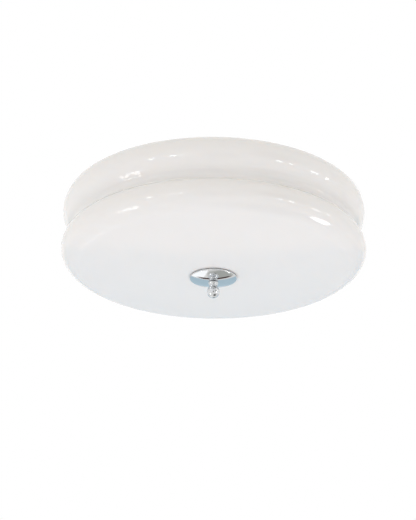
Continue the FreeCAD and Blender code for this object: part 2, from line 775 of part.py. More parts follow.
def bracket(number, angle):
    """A bent steel angle: its foot is screwed under the pan's floor, its plate carries the holder."""
    label = f"lampholder_bracket_{number}"
    t, back = dim("bracket_thick"), dim("holder_back")
    low = holder_level - dim("bracket_below_axis")
    body = doc.addObject("PartDesign::Body", label)
    sketch = outline(new_sketch(body, label + "_outline", "XZ_Plane"), [
        (back - t, floor_under), (back - t, low), (back, low), (back, floor_under - t),
        (back - t + dim("bracket_foot"), floor_under - t), (back - t + dim("bracket_foot"), floor_under),
    ])
    doc.recompute()
    strip = body.newObject("PartDesign::Pad", label + "_strip")
    strip.Profile = sketch
    strip.Midplane = True
    bind(strip, "Length", dim("bracket_width"))
    doc.recompute()
    drilled(body, label + "_foot_hole", [(dim("bracket_screw_out"), 0)], dim("small_hole_radius"),
            floor_under + 1, t + 2)
    face = new_sketch(body, label + "_window_sketch", "YZ_Plane", back + 1)
    side = dim("holder_screw_side")
    for i, (across, radius) in enumerate((
        (0, dim("bracket_window_radius")), (side, dim("small_hole_radius") * 0.75),
        (-side, dim("small_hole_radius") * 0.75),
    )):
        face.addGeometry(Part.Circle(Vector(mm(across), mm(holder_level), 0), Vector(0, 0, 1), mm(radius)))
        hold_point(face, i, 3, (as_size(across), holder_level))
        row_number = face.addConstraint(Sketcher.Constraint("Radius", i, mm(radius)))
        bind(face, f"Constraints[{row_number}]", radius)
    doc.recompute()
    window = body.newObject("PartDesign::Pocket", label + "_window")
    window.Profile = face
    bind(window, "Length", t + 2)
    doc.recompute()
    body.Placement = Placement(Vector(), Rotation(Vector(0, 0, 1), angle))
    keep(body, label)


def lampholder(number, angle):
    """The porcelain holder with its threaded shell and its sprung centre contact."""
    back, base_r = dim("holder_back"), dim("holder_base_radius")
    base_end = back + dim("holder_base_length")
    skirt, mouth = dim("holder_skirt_radius"), dim("holder_mouth")
    recess = dim("holder_recess_radius")
    pin = dim("contact_pin_radius") + CONTACT_GAP
    shoulder = base_end + (skirt - base_r)
    lay_outward(turned(f"lampholder_body_{number}", [
        (pin, back), (base_r, back), (base_r, base_end), (skirt, shoulder), (skirt, mouth - 1.5),
        (skirt - 1.5, mouth), (recess, mouth), (recess, base_end), (pin, base_end),
    ], {4: (as_size(1.5), -1)}), angle)

    shell, wall = dim("shell_radius"), dim("shell_wall")
    crest = (recess - shell) * 0.6
    half = dim("bulb_thread_pitch") / 2
    floor = base_end + CONTACT_GAP
    start = floor + 2.2
    outer = [(shell + (crest if i % 2 else 0), start + half * i) for i in range(2 * SHELL_THREADS + 1)]
    inner = [(r - wall, z) for r, z in reversed(outer)]
    eye = as_size(6.5)
    lay_outward(turned(f"screw_shell_{number}", [(eye, floor), (shell, floor)] + outer + inner
                       + [(shell - wall, floor + wall), (eye, floor + wall)]), angle)

    face = dim("contact_face")
    head, head_t = dim("contact_head_radius"), dim("contact_head_thick")
    lay_outward(turned(f"centre_contact_{number}", [
        (as_size(0), back + dim("contact_travel") + 1), (dim("contact_pin_radius"), back + dim("contact_travel") + 1),
        (dim("contact_pin_radius"), face - head_t), (head, face - head_t), (head, face - 0.5),
        (head - 0.5, face), (as_size(0), face),
    ], {4: (as_size(0.5), -1)}), angle)


def bulb(number, angle):
    """A golf-ball bulb: contact tip, threaded cap, plastic collar and opal globe."""
    tip = dim("contact_face") + CONTACT_GAP
    cap_r, cap_end = dim("bulb_cap_radius"), dim("bulb_cap_end")
    pitch, depth = dim("bulb_thread_pitch"), dim("bulb_thread_depth")
    zero = as_size(0)
    insulator_end = tip + 3.4
    lay_outward(turned(f"bulb_tip_{number}", [
        (zero, tip), (as_size(4.4), tip), (as_size(4.8), tip + 0.8), (cap_r - depth - 1.2, insulator_end),
        (zero, insulator_end),
    ]), angle)

    rings = []
    for i in range(4):
        low = insulator_end + pitch * i
        rings += [(cap_r - depth, low), (cap_r, low + pitch * 0.35), (cap_r, low + pitch * 0.65)]
    end = insulator_end + pitch * 4
    rings += [(cap_r - depth, end), (cap_r - depth, cap_end), (zero, cap_end), (zero, insulator_end)]
    lay_outward(turned(f"bulb_cap_{number}", rings), angle)

    globe, out = dim("bulb_globe_radius"), dim("bulb_globe_out")
    collar_end = dim("bulb_collar_end")
    neck_r = root(globe * globe - (out - collar_end) * (out - collar_end))
    collar_r = neck_r + 0.6
    lay_outward(turned(f"bulb_collar_{number}", [
        (zero, cap_end), (cap_r + 0.4, cap_end), (collar_r, collar_end), (zero, collar_end),
    ], {1: (as_size(60), -1)}), angle)

    hollow = globe - dim("bulb_globe_wall")
    inner_neck = root(hollow * hollow - (out - collar_end) * (out - collar_end))
    lay_outward(turned(f"bulb_globe_{number}", [
        (inner_neck, collar_end), (neck_r, collar_end), (zero, out + globe), (zero, out + hollow),
    ], {1: (globe, -1), 3: (hollow, 1)}), angle)


def holder_fixings():
    """The brackets' screws and nuts, the holders' own screws, and the grommets for the leads."""
    foot_screws, foot_nuts, holder_screws, grommets = [], [], [], []
    t = dim("bracket_thick")
    for number, angle in enumerate(HOLDER_ANGLES, start=1):
        spot = outward(angle, dim("bracket_screw_out"))
        head = (as_size(spot.x), as_size(spot.y), floor_under - t)
        foot_screws.append(pan_head_screw(f"bracket_screw_{number}", head, False, dim("pan_sheet") + t + 3.6))
        foot_nuts.append(hex_nut(f"bracket_nut_{number}", dim("hex_small_flats"), dim("hex_small_height"),
                                 dim("small_screw_radius") + SKIN_GAP, (spot.x, spot.y, floor_top)))
        direction = outward(angle, 1.0)
        for side in (1, -1):
            sideways = dim("holder_screw_side") * side
            name = f"holder_screw_{number}_{'left' if side > 0 else 'right'}"
            back = dim("holder_back") - t
            head_place = outward(angle, back - 1.8, sideways, holder_level)
            foot_place = outward(angle, back, sideways, holder_level)
            knob = cylinder(name + "_head", as_size(2.7), as_size(1.8), tuple(head_place), direction)
            shank = cylinder(name + "_shank", as_size(1.4), t, tuple(foot_place), direction)
            holder_screws.append(joined(name, [knob, shank]))
        hole = dim("lead_hole_radius")
        at = outward(angle, dim("lead_hole_out"))
        body = turned(f"grommet_{number}", [
            (hole - 1.4, floor_under - 1.2), (hole + 1.3, floor_under - 1.2), (hole + 1.3, floor_under),
            (hole, floor_under), (hole, floor_top), (hole + 1.3, floor_top), (hole + 1.3, floor_top + 1.2),
            (hole - 1.4, floor_top + 1.2),
        ])
        body.Placement = Placement(Vector(at.x, at.y, 0), Rotation())
        pieces.pop(f"grommet_{number}")
        grommets.append(body)
    group("bracket_screws", foot_screws)
    group("bracket_nuts", foot_nuts)
    group("holder_screws", holder_screws)
    group("lead_grommets", grommets)


# Wiring inside the pan

def lead(name, route, tightest=None):
    """A round wire along straight runs joined by tangent arcs, each as large as its runs allow.
    tightest maps a corner's number to the largest radius there is room for."""
    tightest = tightest or {}
    points = [Vector(*[mm(v) for v in p]) for p in route]
    edges, radii, here = [], [], points[0]
    for i, (a, b, c) in enumerate(zip(points, points[1:], points[2:]), start=1):
        into, out = b - a, c - b
        half_turn = math.tan(into.getAngle(out) / 2)
        shorter = min(into.Length, out.Length)
        radius = min(0.45 * shorter / half_turn, tightest.get(i, 1e9))
        back_off = radius * half_turn
        start = b - into * (back_off / into.Length)
        end = b + out * (back_off / out.Length)
        towards = (out * (1 / out.Length) - into * (1 / into.Length)).normalize()
        middle = b + towards * (math.hypot(radius, back_off) - radius)
        edges += [Part.LineSegment(here, start).toShape(), Part.Arc(start, middle, end).toShape()]
        radii.append(round(radius, 1))
        here = end
    edges.append(Part.LineSegment(here, points[-1]).toShape())
    path = Part.Wire(edges)
    section = mm(dim("lead_radius"))
    profile = Part.Wire([Part.Circle(points[0], points[1] - points[0], section).toShape()])
    solid = path.makePipeShell([profile], True, False)
    expected = math.pi * section ** 2 * path.Length
    if abs(solid.Volume - expected) > 0.01 * expected:
        raise RuntimeError(f"{name} has volume {solid.Volume:.1f}, not {expected:.1f}")
    print(name, "is", round(path.Length, 1), "mm long, with bends of", radii)
    made = doc.addObject("Part::Feature", name)
    made.Shape = solid
    return made


def tunnel_level():
    """The height of the terminals' axes."""
    return floor_top + dim("block_tunnel_level")


def holder_leads():
    """Each holder's live and neutral leads, up through its grommet and across to the block. Each
    pair crosses the pan at a level of its own, and the three leads of one kind share a terminal."""
    front = dim("block_front")
    made = {"live": [], "neutral": []}
    seats = (-30.0, 210.0, 90.0)
    hands = (1, -1, -1)
    for number, angle in enumerate(HOLDER_ANGLES, start=1):
        level = -(dim("lead_first_level") - dim("lead_level_step") * (number - 1))
        seat = math.radians(seats[number - 1])
        for kind, terminal in (("live", -dim("block_pitch")), ("neutral", as_size(0))):
            across = dim("lead_side") * (hands[number - 1] if kind == "live" else -hands[number - 1])
            x = terminal + dim("lead_spread") * math.cos(seat)
            z = tunnel_level() + dim("lead_spread") * math.sin(seat)
            riser = outward(angle, dim("lead_hole_out"), across, level)
            run = 0.8
            route = [
                tuple(outward(angle, dim("holder_back"), across, holder_level)),
                tuple(outward(angle, dim("lead_hole_out"), across, holder_level)),
                tuple(riser),
                (riser.x + (mm(x) - riser.x) * run, riser.y + (mm(front - 10) - riser.y) * run, level),
                (x, front - 10, z),
                (x, front + dim("lead_in_block"), z),
            ]
            made[kind].append(lead(f"{kind}_lead_{number}", route, {1: 5.0, 2: 3.4}))
    group("live_leads", made["live"])
    group("neutral_leads", made["neutral"])


def earth_bond():
    """The earth lead, its ring terminal, and the screw and nut that bond it to the pan."""
    x, y = dim("earth_screw_x"), dim("earth_screw_y")
    front, pitch = dim("block_front"), dim("block_pitch")
    barrel_level = floor_top + 1.6
    barrel_out = x - 8.2
    keep(lead("earth_wire", [
        (pitch, front + dim("lead_in_block"), tunnel_level()), (pitch, front - 8, tunnel_level()),
        (pitch + 5.5, y, barrel_level), (barrel_out, y, barrel_level),
    ]), "earth_lead")
    eye = ring("earth_eye", as_size(4.2), dim("small_hole_radius"), as_size(0.8), (x, y, floor_top))
    barrel = cylinder("earth_barrel", as_size(1.55), as_size(4.2), (barrel_out, y, barrel_level), Vector(1, 0, 0))
    keep(joined("earth_ring_terminal", [eye, barrel]), "earth_terminal")
    head = (x, y, floor_top + 0.8)
    keep(pan_head_screw("earth_bond_screw", head, True, dim("pan_sheet") + 6), "earth_screw")
    keep(hex_nut("earth_bond_nut", dim("hex_small_flats"), dim("hex_small_height"),
                 dim("small_screw_radius") + SKIN_GAP, (x, y, floor_under - dim("hex_small_height"))), "earth_nut")


def box(name, sizes, corner):
    """A Part box with one corner at a place."""
    made = doc.addObject("Part::Box", name)
    for prop, size in zip(("Length", "Width", "Height"), sizes):
        bind(made, prop, size)
    made.Placement.Base = Vector(*[mm(v) for v in corner])
    return made


def terminal_block():
    """A three-way screw terminal block, fixed from under the pan: live, neutral and earth."""
    length, depth, height = dim("block_length"), dim("block_depth"), dim("block_height")
    pitch, front, side = dim("block_pitch"), dim("block_front"), dim("block_screw_side")
    blank = box("block_blank", (length, depth, height), (-length / 2, front, floor_top))
    tools, clamps, fixings = [], [], []
    clamp_low = tunnel_level() + dim("lead_spread") + dim("lead_radius") + SKIN_GAP
    top = floor_top + height
    for i, name in enumerate(("live", "neutral", "earth")):
        x = pitch * (i - 1)
        tools.append(cylinder(f"{name}_tunnel", dim("block_tunnel_radius"), depth + 2,
                              (x, front - 1, tunnel_level()), Vector(0, 1, 0)))
        for j, share in enumerate((0.2, 0.75)):
            y = front + depth * share
            tools.append(cylinder(f"{name}_well_{j}", dim("block_well_radius"), height, (x, y, tunnel_level())))
            screw = cylinder(f"{name}_clamp_{j}_blank", dim("block_well_radius") - SKIN_GAP, as_size(4), (x, y, clamp_low))
            slot = box(f"{name}_clamp_{j}_slot", (6, 0.7, 1.5), (x - 3, y - 0.35, clamp_low + 2.9))
            clamps.append(cut_away(f"{name}_clamp_{j}", screw, [slot]))
    for name, x in (("left", -side), ("right", side)):
        tools.append(box(f"{name}_rib_gap", (1.6, depth + 2, 5), (x - 0.8, front - 1, top - 3.5)))
        y = front + depth / 2
        tools.append(cylinder(f"{name}_fixing_hole", as_size(1.55), as_size(6), (x, y, floor_top - 1)))
        knob = cylinder(f"{name}_fixing_head", as_size(2.8), as_size(1.8), (x, y, floor_under - 1.8))
        shank = cylinder(f"{name}_fixing_shank", as_size(1.5), as_size(5.5), (x, y, floor_under))
        fixings.append(joined(f"{name}_fixing", [knob, shank]))
    keep(cut_away("three_way_block", blank, tools), "terminal_block")
    group("terminal_screws", clamps)
    group("block_screws", fixings)


# Assembly and export

def main():
    """Builds every piece, checks it and writes it out."""
    glass_shade()
    ceiling_pan()
    mounting_strap()
    pan_fixings()
    rim_gasket()
    hanger_rod()
    glass_seals()
    finial_cap()
    finial_knob()
    for number, angle in enumerate(HOLDER_ANGLES, start=1):
        bracket(number, angle)
        lampholder(number, angle)
        bulb(number, angle)
    holder_fixings()
    holder_leads()
    earth_bond()
    terminal_block()
    doc.recompute()

    for obj in doc.Objects:
        if "Invalid" in obj.State or "Error" in obj.State:
            raise RuntimeError(f"{obj.Name} failed: {obj.State}")
    os.makedirs("parts", exist_ok=True)
    for label, obj in sorted(pieces.items()):
        shape = obj.Shape
        if shape.isNull() or not shape.isValid() or not shape.Solids:
            raise RuntimeError(f"{label} is not a valid solid")
        shape.exportStep(os.path.join("parts", label + ".step"))
    print(len(pieces), "sub-parts written; finial bottom at", round(mm(finial_top - dim("finial_length")), 2))


main()
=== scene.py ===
from math import asin, atan, ceil, cos, degrees, pi, radians, sin
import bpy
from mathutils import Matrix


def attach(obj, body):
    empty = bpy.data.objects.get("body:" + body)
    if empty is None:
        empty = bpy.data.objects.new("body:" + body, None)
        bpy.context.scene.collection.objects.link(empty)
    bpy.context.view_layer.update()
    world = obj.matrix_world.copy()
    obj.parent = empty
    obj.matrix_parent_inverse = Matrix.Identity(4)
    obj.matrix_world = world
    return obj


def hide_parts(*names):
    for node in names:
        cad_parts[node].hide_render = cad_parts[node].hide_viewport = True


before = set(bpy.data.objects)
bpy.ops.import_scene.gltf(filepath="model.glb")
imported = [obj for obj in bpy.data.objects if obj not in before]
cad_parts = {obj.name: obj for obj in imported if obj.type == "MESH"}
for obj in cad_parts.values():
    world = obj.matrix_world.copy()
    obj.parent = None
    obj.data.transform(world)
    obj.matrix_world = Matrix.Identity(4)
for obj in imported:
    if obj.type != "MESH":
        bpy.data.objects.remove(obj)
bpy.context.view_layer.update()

from types import SimpleNamespace

import bmesh
import bpy
from mathutils import Matrix, Vector


# The camera stands 1.5 m from the lamp and well below it, and looks up at it by 23 degrees, as the
# eye does from the floor of a room. It aims a few pixels off the drum's middle, and it is rolled by
# half a degree.
CAMERA_RISE = radians(23.4)
CAMERA_AWAY = 1.52
DRUM_MIDDLE = Vector((0, 0, -0.0742))
PHOTO_HEIGHT = 520
PIXELS_PER_RADIAN = 1212.9
AIM_RIGHT, AIM_UP = atan(5.54 / PIXELS_PER_RADIAN), atan(4.70 / PIXELS_PER_RADIAN)
CAMERA_ROLL = radians(0.436)
FILM_SIZE = 36.0

camera = bpy.data.objects.new("camera", bpy.data.cameras.new("camera"))
camera.data.sensor_fit = "VERTICAL"
camera.data.sensor_height = FILM_SIZE
camera.data.lens = PIXELS_PER_RADIAN * FILM_SIZE / PHOTO_HEIGHT
gaze = Vector((0, cos(CAMERA_RISE), sin(CAMERA_RISE)))
upward = Vector((0, -sin(CAMERA_RISE), cos(CAMERA_RISE)))
stand = Matrix((Vector((1, 0, 0)), upward, -gaze)).transposed().to_4x4()
stand.translation = DRUM_MIDDLE - CAMERA_AWAY * gaze
camera.matrix_world = (stand @ Matrix.Rotation(CAMERA_ROLL, 4, "Z")
                       @ Matrix.Rotation(AIM_RIGHT, 4, "Y") @ Matrix.Rotation(-AIM_UP, 4, "X"))
bpy.context.scene.collection.objects.link(camera)
bpy.context.scene.camera = camera
bpy.context.scene.view_settings.view_transform = "Standard"


# The mounting strap and its two long screws: a punched and stepped strip of 2 mm steel that is
# screwed to the ceiling, and the screws that hang from it to take the pan. Both are zinc plated.
MM = 0.001
MIX_A, MIX_B, MIX_RESULT = 6, 7, 2        # the colour sockets of a Mix node
NOISE_LOW, NOISE_HIGH = 0.3, 0.7          # nearly all of a noise lies between these
KNOCK_SIZE = 1.2


def linear(colour):
    """Turns an sRGB hex colour into the linear values that a shader takes."""
    parts = [int(colour[i:i + 2], 16) / 255 for i in (0, 2, 4)]
    return tuple(part / 12.92 if part <= 0.04045 else ((part + 0.055) / 1.055) ** 2.4
                 for part in parts) + (1.0,)


def put(tree, kind, inputs=(), outputs=(), **settings):
    """Adds one node with its settings and links. An input is a value or another node's output."""
    made = tree.nodes.new(kind)
    for setting, value in settings.items():
        setattr(made, setting, value)
    for socket, value in dict(inputs).items():
        if isinstance(value, bpy.types.NodeSocket):
            tree.links.new(value, made.inputs[socket])
        else:
            made.inputs[socket].default_value = value
    for socket, target in dict(outputs).items():
        tree.links.new(made.outputs[socket], target)
    return made


def surface(name, tones, patch, gloss, grain, relief, stretch=(1, 1, 1), detail=3.0, **constants):
    """Starts a material as every real surface starts: its colour drifts between two tones in
    patches, its roughness drifts with them between the two values of its gloss, and it has a fine
    relief. Patch, grain and relief are in millimetres. A stretch above 1 draws the grain out along
    that axis. Constants are the shader's own sockets."""
    finish = bpy.data.materials.new(name)
    finish.use_nodes = True
    tree = finish.node_tree
    shader = tree.nodes["Principled BSDF"]
    for socket, value in constants.items():
        shader.inputs[socket.replace("_", " ")].default_value = value
    where = put(tree, "ShaderNodeTexCoord").outputs["Object"]
    cloud = put(tree, "ShaderNodeTexNoise",
                {"Vector": where, "Scale": 1 / (patch * MM), "Detail": detail}).outputs["Fac"]
    tint = put(tree, "ShaderNodeMix",
               {"Factor": cloud, MIX_A: linear(tones[0]), MIX_B: linear(tones[1])},
               {MIX_RESULT: shader.inputs["Base Color"]}, data_type="RGBA")
    put(tree, "ShaderNodeMapRange", {"Value": cloud, "From Min": NOISE_LOW, "From Max": NOISE_HIGH,
                                     "To Min": gloss[0], "To Max": gloss[1]},
        {"Result": shader.inputs["Roughness"]})
    drawn = put(tree, "ShaderNodeMapping",
                {"Vector": where, "Scale": [1 / along for along in stretch]}).outputs["Vector"]
    grit = put(tree, "ShaderNodeTexNoise",
               {"Vector": drawn, "Scale": 1 / (grain * MM), "Detail": 2.0}).outputs["Fac"]
    bump = put(tree, "ShaderNodeBump", {"Height": grit, "Distance": relief * MM},
               {"Normal": shader.inputs["Normal"]})
    return SimpleNamespace(material=finish, tree=tree, shader=shader, where=where,
                           tint=tint.outputs[MIX_RESULT], bump=bump.outputs["Normal"])


def dress(finish, *names):
    """Gives CAD nodes their finish."""
    for name in names:
        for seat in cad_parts[name].material_slots:
            seat.material = finish.material


# Bright zinc over cold-rolled strip: blue-grey metal with soft cloudy patches from the plating
# bath, and the lines that the rolls left along the strip, which stretch its highlights. The lines
# are drawn 0.35 mm wide, coarser than real ones, so that they show.
strip_zinc = surface("bright_zinc_on_rolled_strip", tones=("A3A8AD", "C6CACC"), patch=7.0,
                     gloss=(0.26, 0.44), grain=0.35, relief=0.012, stretch=(30, 1, 1), Metallic=1.0)
dress(strip_zinc, "mounting_strap")

# The same plating on screws and nuts, tumbled in a barrel: brighter on the high spots, with fine
# knocks instead of rolling lines.
barrel_zinc = surface("barrel_plated_zinc", tones=("9BA1A6", "C9CDCF"), patch=3.0,
                      gloss=(0.22, 0.40), grain=0.5, relief=0.02, Metallic=1.0)
knocks = put(barrel_zinc.tree, "ShaderNodeTexVoronoi",
             {"Vector": barrel_zinc.where, "Scale": 1 / (KNOCK_SIZE * MM)})
put(barrel_zinc.tree, "ShaderNodeBump",
    {"Height": knocks.outputs["Distance"], "Distance": 0.015 * MM, "Strength": 0.6,
     "Normal": barrel_zinc.bump}, {"Normal": barrel_zinc.shader.inputs["Normal"]})
dress(barrel_zinc, "pan_screws")


# The ceiling pan: a dish pressed from 1 mm steel sheet, with a flange that meets the ceiling. It
# hangs on the strap's screws and carries the lampholders, the block and the rod.
FLECK_SIZE = 0.5

# Powder coat, melted on in an oven: a soft white satin with the ripple called orange peel, about
# 2 mm from crest to crest, that breaks up every highlight, and finer flecks over it.
powder = surface("white_powder_coat", tones=("ECEBE7", "F3F2EF"), patch=35.0,
                 gloss=(0.34, 0.46), grain=1.8, relief=0.05, IOR=1.5)
flecks = put(powder.tree, "ShaderNodeTexNoise",
             {"Vector": powder.where, "Scale": 1 / (FLECK_SIZE * MM), "Detail": 1.0})
put(powder.tree, "ShaderNodeBump",
    {"Height": flecks.outputs["Fac"], "Distance": 0.012 * MM, "Normal": powder.bump},
    {"Normal": powder.shader.inputs["Normal"]})
dress(powder, "ceiling_pan")


# The two domed thumb nuts under the pan: turned from brass, polished and chrome plated. They draw
# the pan up by hand, and their skirts bear on its floor.

# Bright chrome over polished brass: a near-perfect mirror, a little blue, that is bent only by the
# faint slow waves, about 4 mm long, that the polishing wheel leaves.
chrome = surface("polished_chrome_plate", tones=("D6D9DC", "E2E4E6"), patch=12.0,
                 gloss=(0.02, 0.045), grain=4.0, relief=0.0015, detail=4.0, Metallic=1.0)
dress(chrome, "pan_thumb_nuts")


# The foam ring on the pan's flange: a die-cut strip of closed-cell foam, glued to the steel, that
# the glass bears on.
CELL_SIZE = 0.6

# Cut foam is dull and soft: its sliced cells are pits of about 0.6 mm that hold no highlight.
foam = surface("closed_cell_foam", tones=("DEDEDA", "EEEEEA"), patch=4.0,
               gloss=(0.85, 0.95), grain=0.6, relief=0.05, IOR=1.45)
cells = put(foam.tree, "ShaderNodeTexVoronoi",
            {"Vector": foam.where, "Scale": 1 / (CELL_SIZE * MM)})
put(foam.tree, "ShaderNodeBump",
    {"Height": cells.outputs["Distance"], "Distance": 0.25 * MM, "Strength": 0.8,
     "Normal": foam.bump}, {"Normal": foam.shader.inputs["Normal"]})
dress(foam, "rim_gasket")


# The hanger rod: M6 studding that hangs from the pan's floor and carries the glass, cap and finial.
# Its thread is rolled, 1 mm to the turn, and it is zinc plated and passivated. Two nuts with lock
# washers clamp it to the pan's floor.
ROD_RADIUS, THREAD_ROOT, THREAD_PITCH = 3.0, 2.4, 1.0
ROD_TOP, ROD_BOTTOM = -13.5, -118.55
STEPS_A_TURN = 28
SPARE_TURNS = 2
# points nearer than the weld are made one, and points flush with a cut lie on it
THREAD_WELD, FLUSH = 0.02, 0.001
# crest, flank, root and flank of one turn: how far from the axis, and how far up in turns
THREAD_OUTLINE = [(ROD_RADIUS, 0), (ROD_RADIUS, 0.14), (THREAD_ROOT, 0.46), (THREAD_ROOT, 0.68),
                  (ROD_RADIUS, 1)]


def as_object(name, shape, crease=40):
    """Makes an object at the origin from a finished bmesh, smooth up to a crease in degrees."""
    mesh = bpy.data.meshes.new(name)
    shape.to_mesh(mesh)
    shape.free()
    mesh.shade_smooth()
    mesh.set_sharp_from_angle(angle=radians(crease))
    made = bpy.data.objects.new(name, mesh)
    bpy.context.scene.collection.objects.link(made)
    return made


def everything(shape):
    """All that a bmesh holds."""
    return shape.verts[:] + shape.edges[:] + shape.faces[:]


def stand_in(piece, finish, node, body):
    """Gives a new piece its finish and its place in the lamp."""
    piece.data.materials.append(finish.material)
    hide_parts(node)
    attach(piece, body)


# one turn of the outline is wound up, doubled along the rod until it is longer than the rod, and
# cut off flat and closed at both ends
thread = bmesh.new()
outline = [thread.verts.new((radius * MM, 0, (ROD_BOTTOM + (rise - 1) * THREAD_PITCH) * MM))
           for radius, rise in THREAD_OUTLINE]
chain = [thread.edges.new(pair) for pair in zip(outline, outline[1:])]
bmesh.ops.spin(thread, geom=outline + chain, cent=(0, 0, 0), axis=(0, 0, 1), angle=2 * pi,
               steps=STEPS_A_TURN, dvec=(0, 0, THREAD_PITCH * MM / STEPS_A_TURN))
turns = 1
while turns < (ROD_TOP - ROD_BOTTOM) / THREAD_PITCH + SPARE_TURNS:
    more = bmesh.ops.duplicate(thread, geom=everything(thread))["geom"]
    points = [made for made in more if isinstance(made, bmesh.types.BMVert)]
    bmesh.ops.translate(thread, verts=points, vec=(0, 0, turns * THREAD_PITCH * MM))
    turns *= 2
bmesh.ops.remove_doubles(thread, verts=thread.verts, dist=THREAD_WELD * MM)
for level, side in ((ROD_BOTTOM, -1), (ROD_TOP, 1)):
    bmesh.ops.bisect_plane(thread, geom=everything(thread), plane_co=(0, 0, level * MM),
                           plane_no=(0, 0, side), clear_outer=True)
    cut = [edge for edge in thread.edges if edge.is_boundary
           and all(abs(corner.co.z - level * MM) < FLUSH * MM for corner in edge.verts)]
    bmesh.ops.holes_fill(thread, edges=cut)
bmesh.ops.recalc_face_normals(thread, faces=thread.faces)
rod = as_object("threaded_hanger_rod", thread, crease=30)

# Rolled thread under yellowish zinc: crests burnished by the dies, with small duller patches
# where the bath has stained the plating.
rod_zinc = surface("passivated_zinc_on_rolled_thread", tones=("A5A294", "C4C1B2"), patch=5.0,
                   gloss=(0.24, 0.38), grain=0.4, relief=0.01, Metallic=1.0)
stand_in(rod, rod_zinc, "hanger_rod", "ceiling_mount")
dress(barrel_zinc, "rod_nuts", "rod_lock_washers")


# The lampholder brackets: three bent steel straps under the pan, each held by a screw and nut, and
# the screws that hold the holders to them. Sheared, folded and plated like the mounting strap.

# Bright zinc over sheared sheet: the strap's blue-grey metal, with its rolling lines running
# upwards and drawn 0.4 mm wide, so that they show.
bracket_zinc = surface("bright_zinc_on_sheared_sheet", tones=("A1A6AB", "C8CBCE"), patch=6.0,
                       gloss=(0.24, 0.42), grain=0.4, relief=0.012, stretch=(1, 1, 18),
                       Metallic=1.0)
dress(bracket_zinc, "lampholder_bracket_1", "lampholder_bracket_2", "lampholder_bracket_3")
dress(barrel_zinc, "bracket_screws", "bracket_nuts", "holder_screws")


# The lampholders: three porcelain bodies, pressed from clay, glazed and fired, each with a threaded
# shell, two screws and a sprung contact behind the bulb's tip.
SPECK_SPACING = 6.0

# Glazed electrical porcelain: hard white under a thick clear glaze that pools a little, with
# scattered pin-sized iron specks.
porcelain = surface("glazed_porcelain", tones=("EAE8E0", "F3F1EA"), patch=14.0,
                    gloss=(0.07, 0.14), grain=3.5, relief=0.04, IOR=1.55)
specks = put(porcelain.tree, "ShaderNodeTexVoronoi",
             {"Vector": porcelain.where, "Scale": 1 / (SPECK_SPACING * MM)})
dotted = put(porcelain.tree, "ShaderNodeMapRange",
             {"Value": specks.outputs["Distance"], "From Min": 0.03, "From Max": 0.06,
              "To Min": 0.55, "To Max": 0.0})
put(porcelain.tree, "ShaderNodeMix",
    {"Factor": dotted.outputs["Result"], MIX_A: porcelain.tint, MIX_B: linear("8F7C62")},
    {MIX_RESULT: porcelain.shader.inputs["Base Color"]}, data_type="RGBA")
dress(porcelain, "lampholder_body_1", "lampholder_body_2", "lampholder_body_3")

# Nickel on rolled-thread sheet: warmer and softer than chrome, with rubbed patches where bulbs
# have been screwed in and out.
nickel = surface("rolled_nickel_plated_sheet", tones=("ADA89C", "D0CCC3"), patch=3.5,
                 gloss=(0.18, 0.36), grain=0.3, relief=0.01, Metallic=1.0)
dress(nickel, "screw_shell_1", "screw_shell_2", "screw_shell_3")

# Plain spring brass: yellow metal browned by air in small blotches.
brass = surface("tarnished_spring_brass", tones=("9A7B43", "CFB070"), patch=2.5,
                gloss=(0.24, 0.42), grain=0.35, relief=0.01, Metallic=1.0)
dress(brass, "centre_contact_1", "centre_contact_2", "centre_contact_3")


# The terminal block: three ways in one moulding, with a clamping screw at both ends of each way,
# screwed to the pan. The earth screw and its nut bond the pan beside it.

# Natural polyamide: creamy and a little translucent, with the matt texture of the mould, drawn
# 0.5 mm from grain to grain so that it shows.
polyamide = surface("moulded_polyamide", tones=("E3DFD0", "EDE9DC"), patch=9.0,
                    gloss=(0.38, 0.5), grain=0.5, relief=0.02, IOR=1.53, Subsurface_Weight=0.25,
                    Subsurface_Radius=(1.0, 0.85, 0.6), Subsurface_Scale=0.0015)
dress(polyamide, "terminal_block")
dress(barrel_zinc, "terminal_screws", "block_screws")
dress(brass, "earth_screw", "earth_nut")
dress(nickel, "earth_terminal")


# The leads: stranded copper in PVC, brown for live, blue for neutral, green and yellow for earth.
# Each holder's pair goes up through a rubber grommet in the pan and across to the block.
STRIPE_TURN = 14.0
DIAGONAL_WAVE, RING_WAVE = 10.0, 20.0        # radians of a Wave Texture in one unit at a scale of 1

# Extruded PVC: even colour with a soft wax-like gloss and a very fine grain.
brown = surface("brown_extruded_pvc", tones=("4A2B1C", "5E3A27"), patch=8.0,
                gloss=(0.3, 0.42), grain=0.4, relief=0.01, IOR=1.53)
dress(brown, "live_leads")
blue = surface("blue_extruded_pvc", tones=("1F4F9A", "2E64B4"), patch=8.0,
               gloss=(0.3, 0.42), grain=0.4, relief=0.01, IOR=1.53)
dress(blue, "neutral_leads")
earth = surface("green_extruded_pvc", tones=("2C7A36", "3A8B43"), patch=8.0,
                gloss=(0.3, 0.42), grain=0.4, relief=0.01, IOR=1.53)
# the yellow stripe winds round the lead, one turn in 14 mm
winding = put(earth.tree, "ShaderNodeTexWave",
              {"Vector": earth.where, "Scale": 2 * pi / (DIAGONAL_WAVE * STRIPE_TURN * MM)},
              bands_direction="DIAGONAL")
stripe = put(earth.tree, "ShaderNodeMapRange",
             {"Value": winding.outputs["Fac"], "From Min": 0.48, "From Max": 0.54})
put(earth.tree, "ShaderNodeMix",
    {"Factor": stripe.outputs["Result"], MIX_A: earth.tint, MIX_B: linear("E0CB35")},
    {MIX_RESULT: earth.shader.inputs["Base Color"]}, data_type="RGBA")
dress(earth, "earth_lead")

# Moulded rubber: black with a grey bloom, quite dull.
rubber = surface("moulded_black_rubber", tones=("19191A", "2B2B2C"), patch=2.5,
                 gloss=(0.6, 0.8), grain=0.4, relief=0.02, IOR=1.52)
dress(rubber, "lead_grommets")


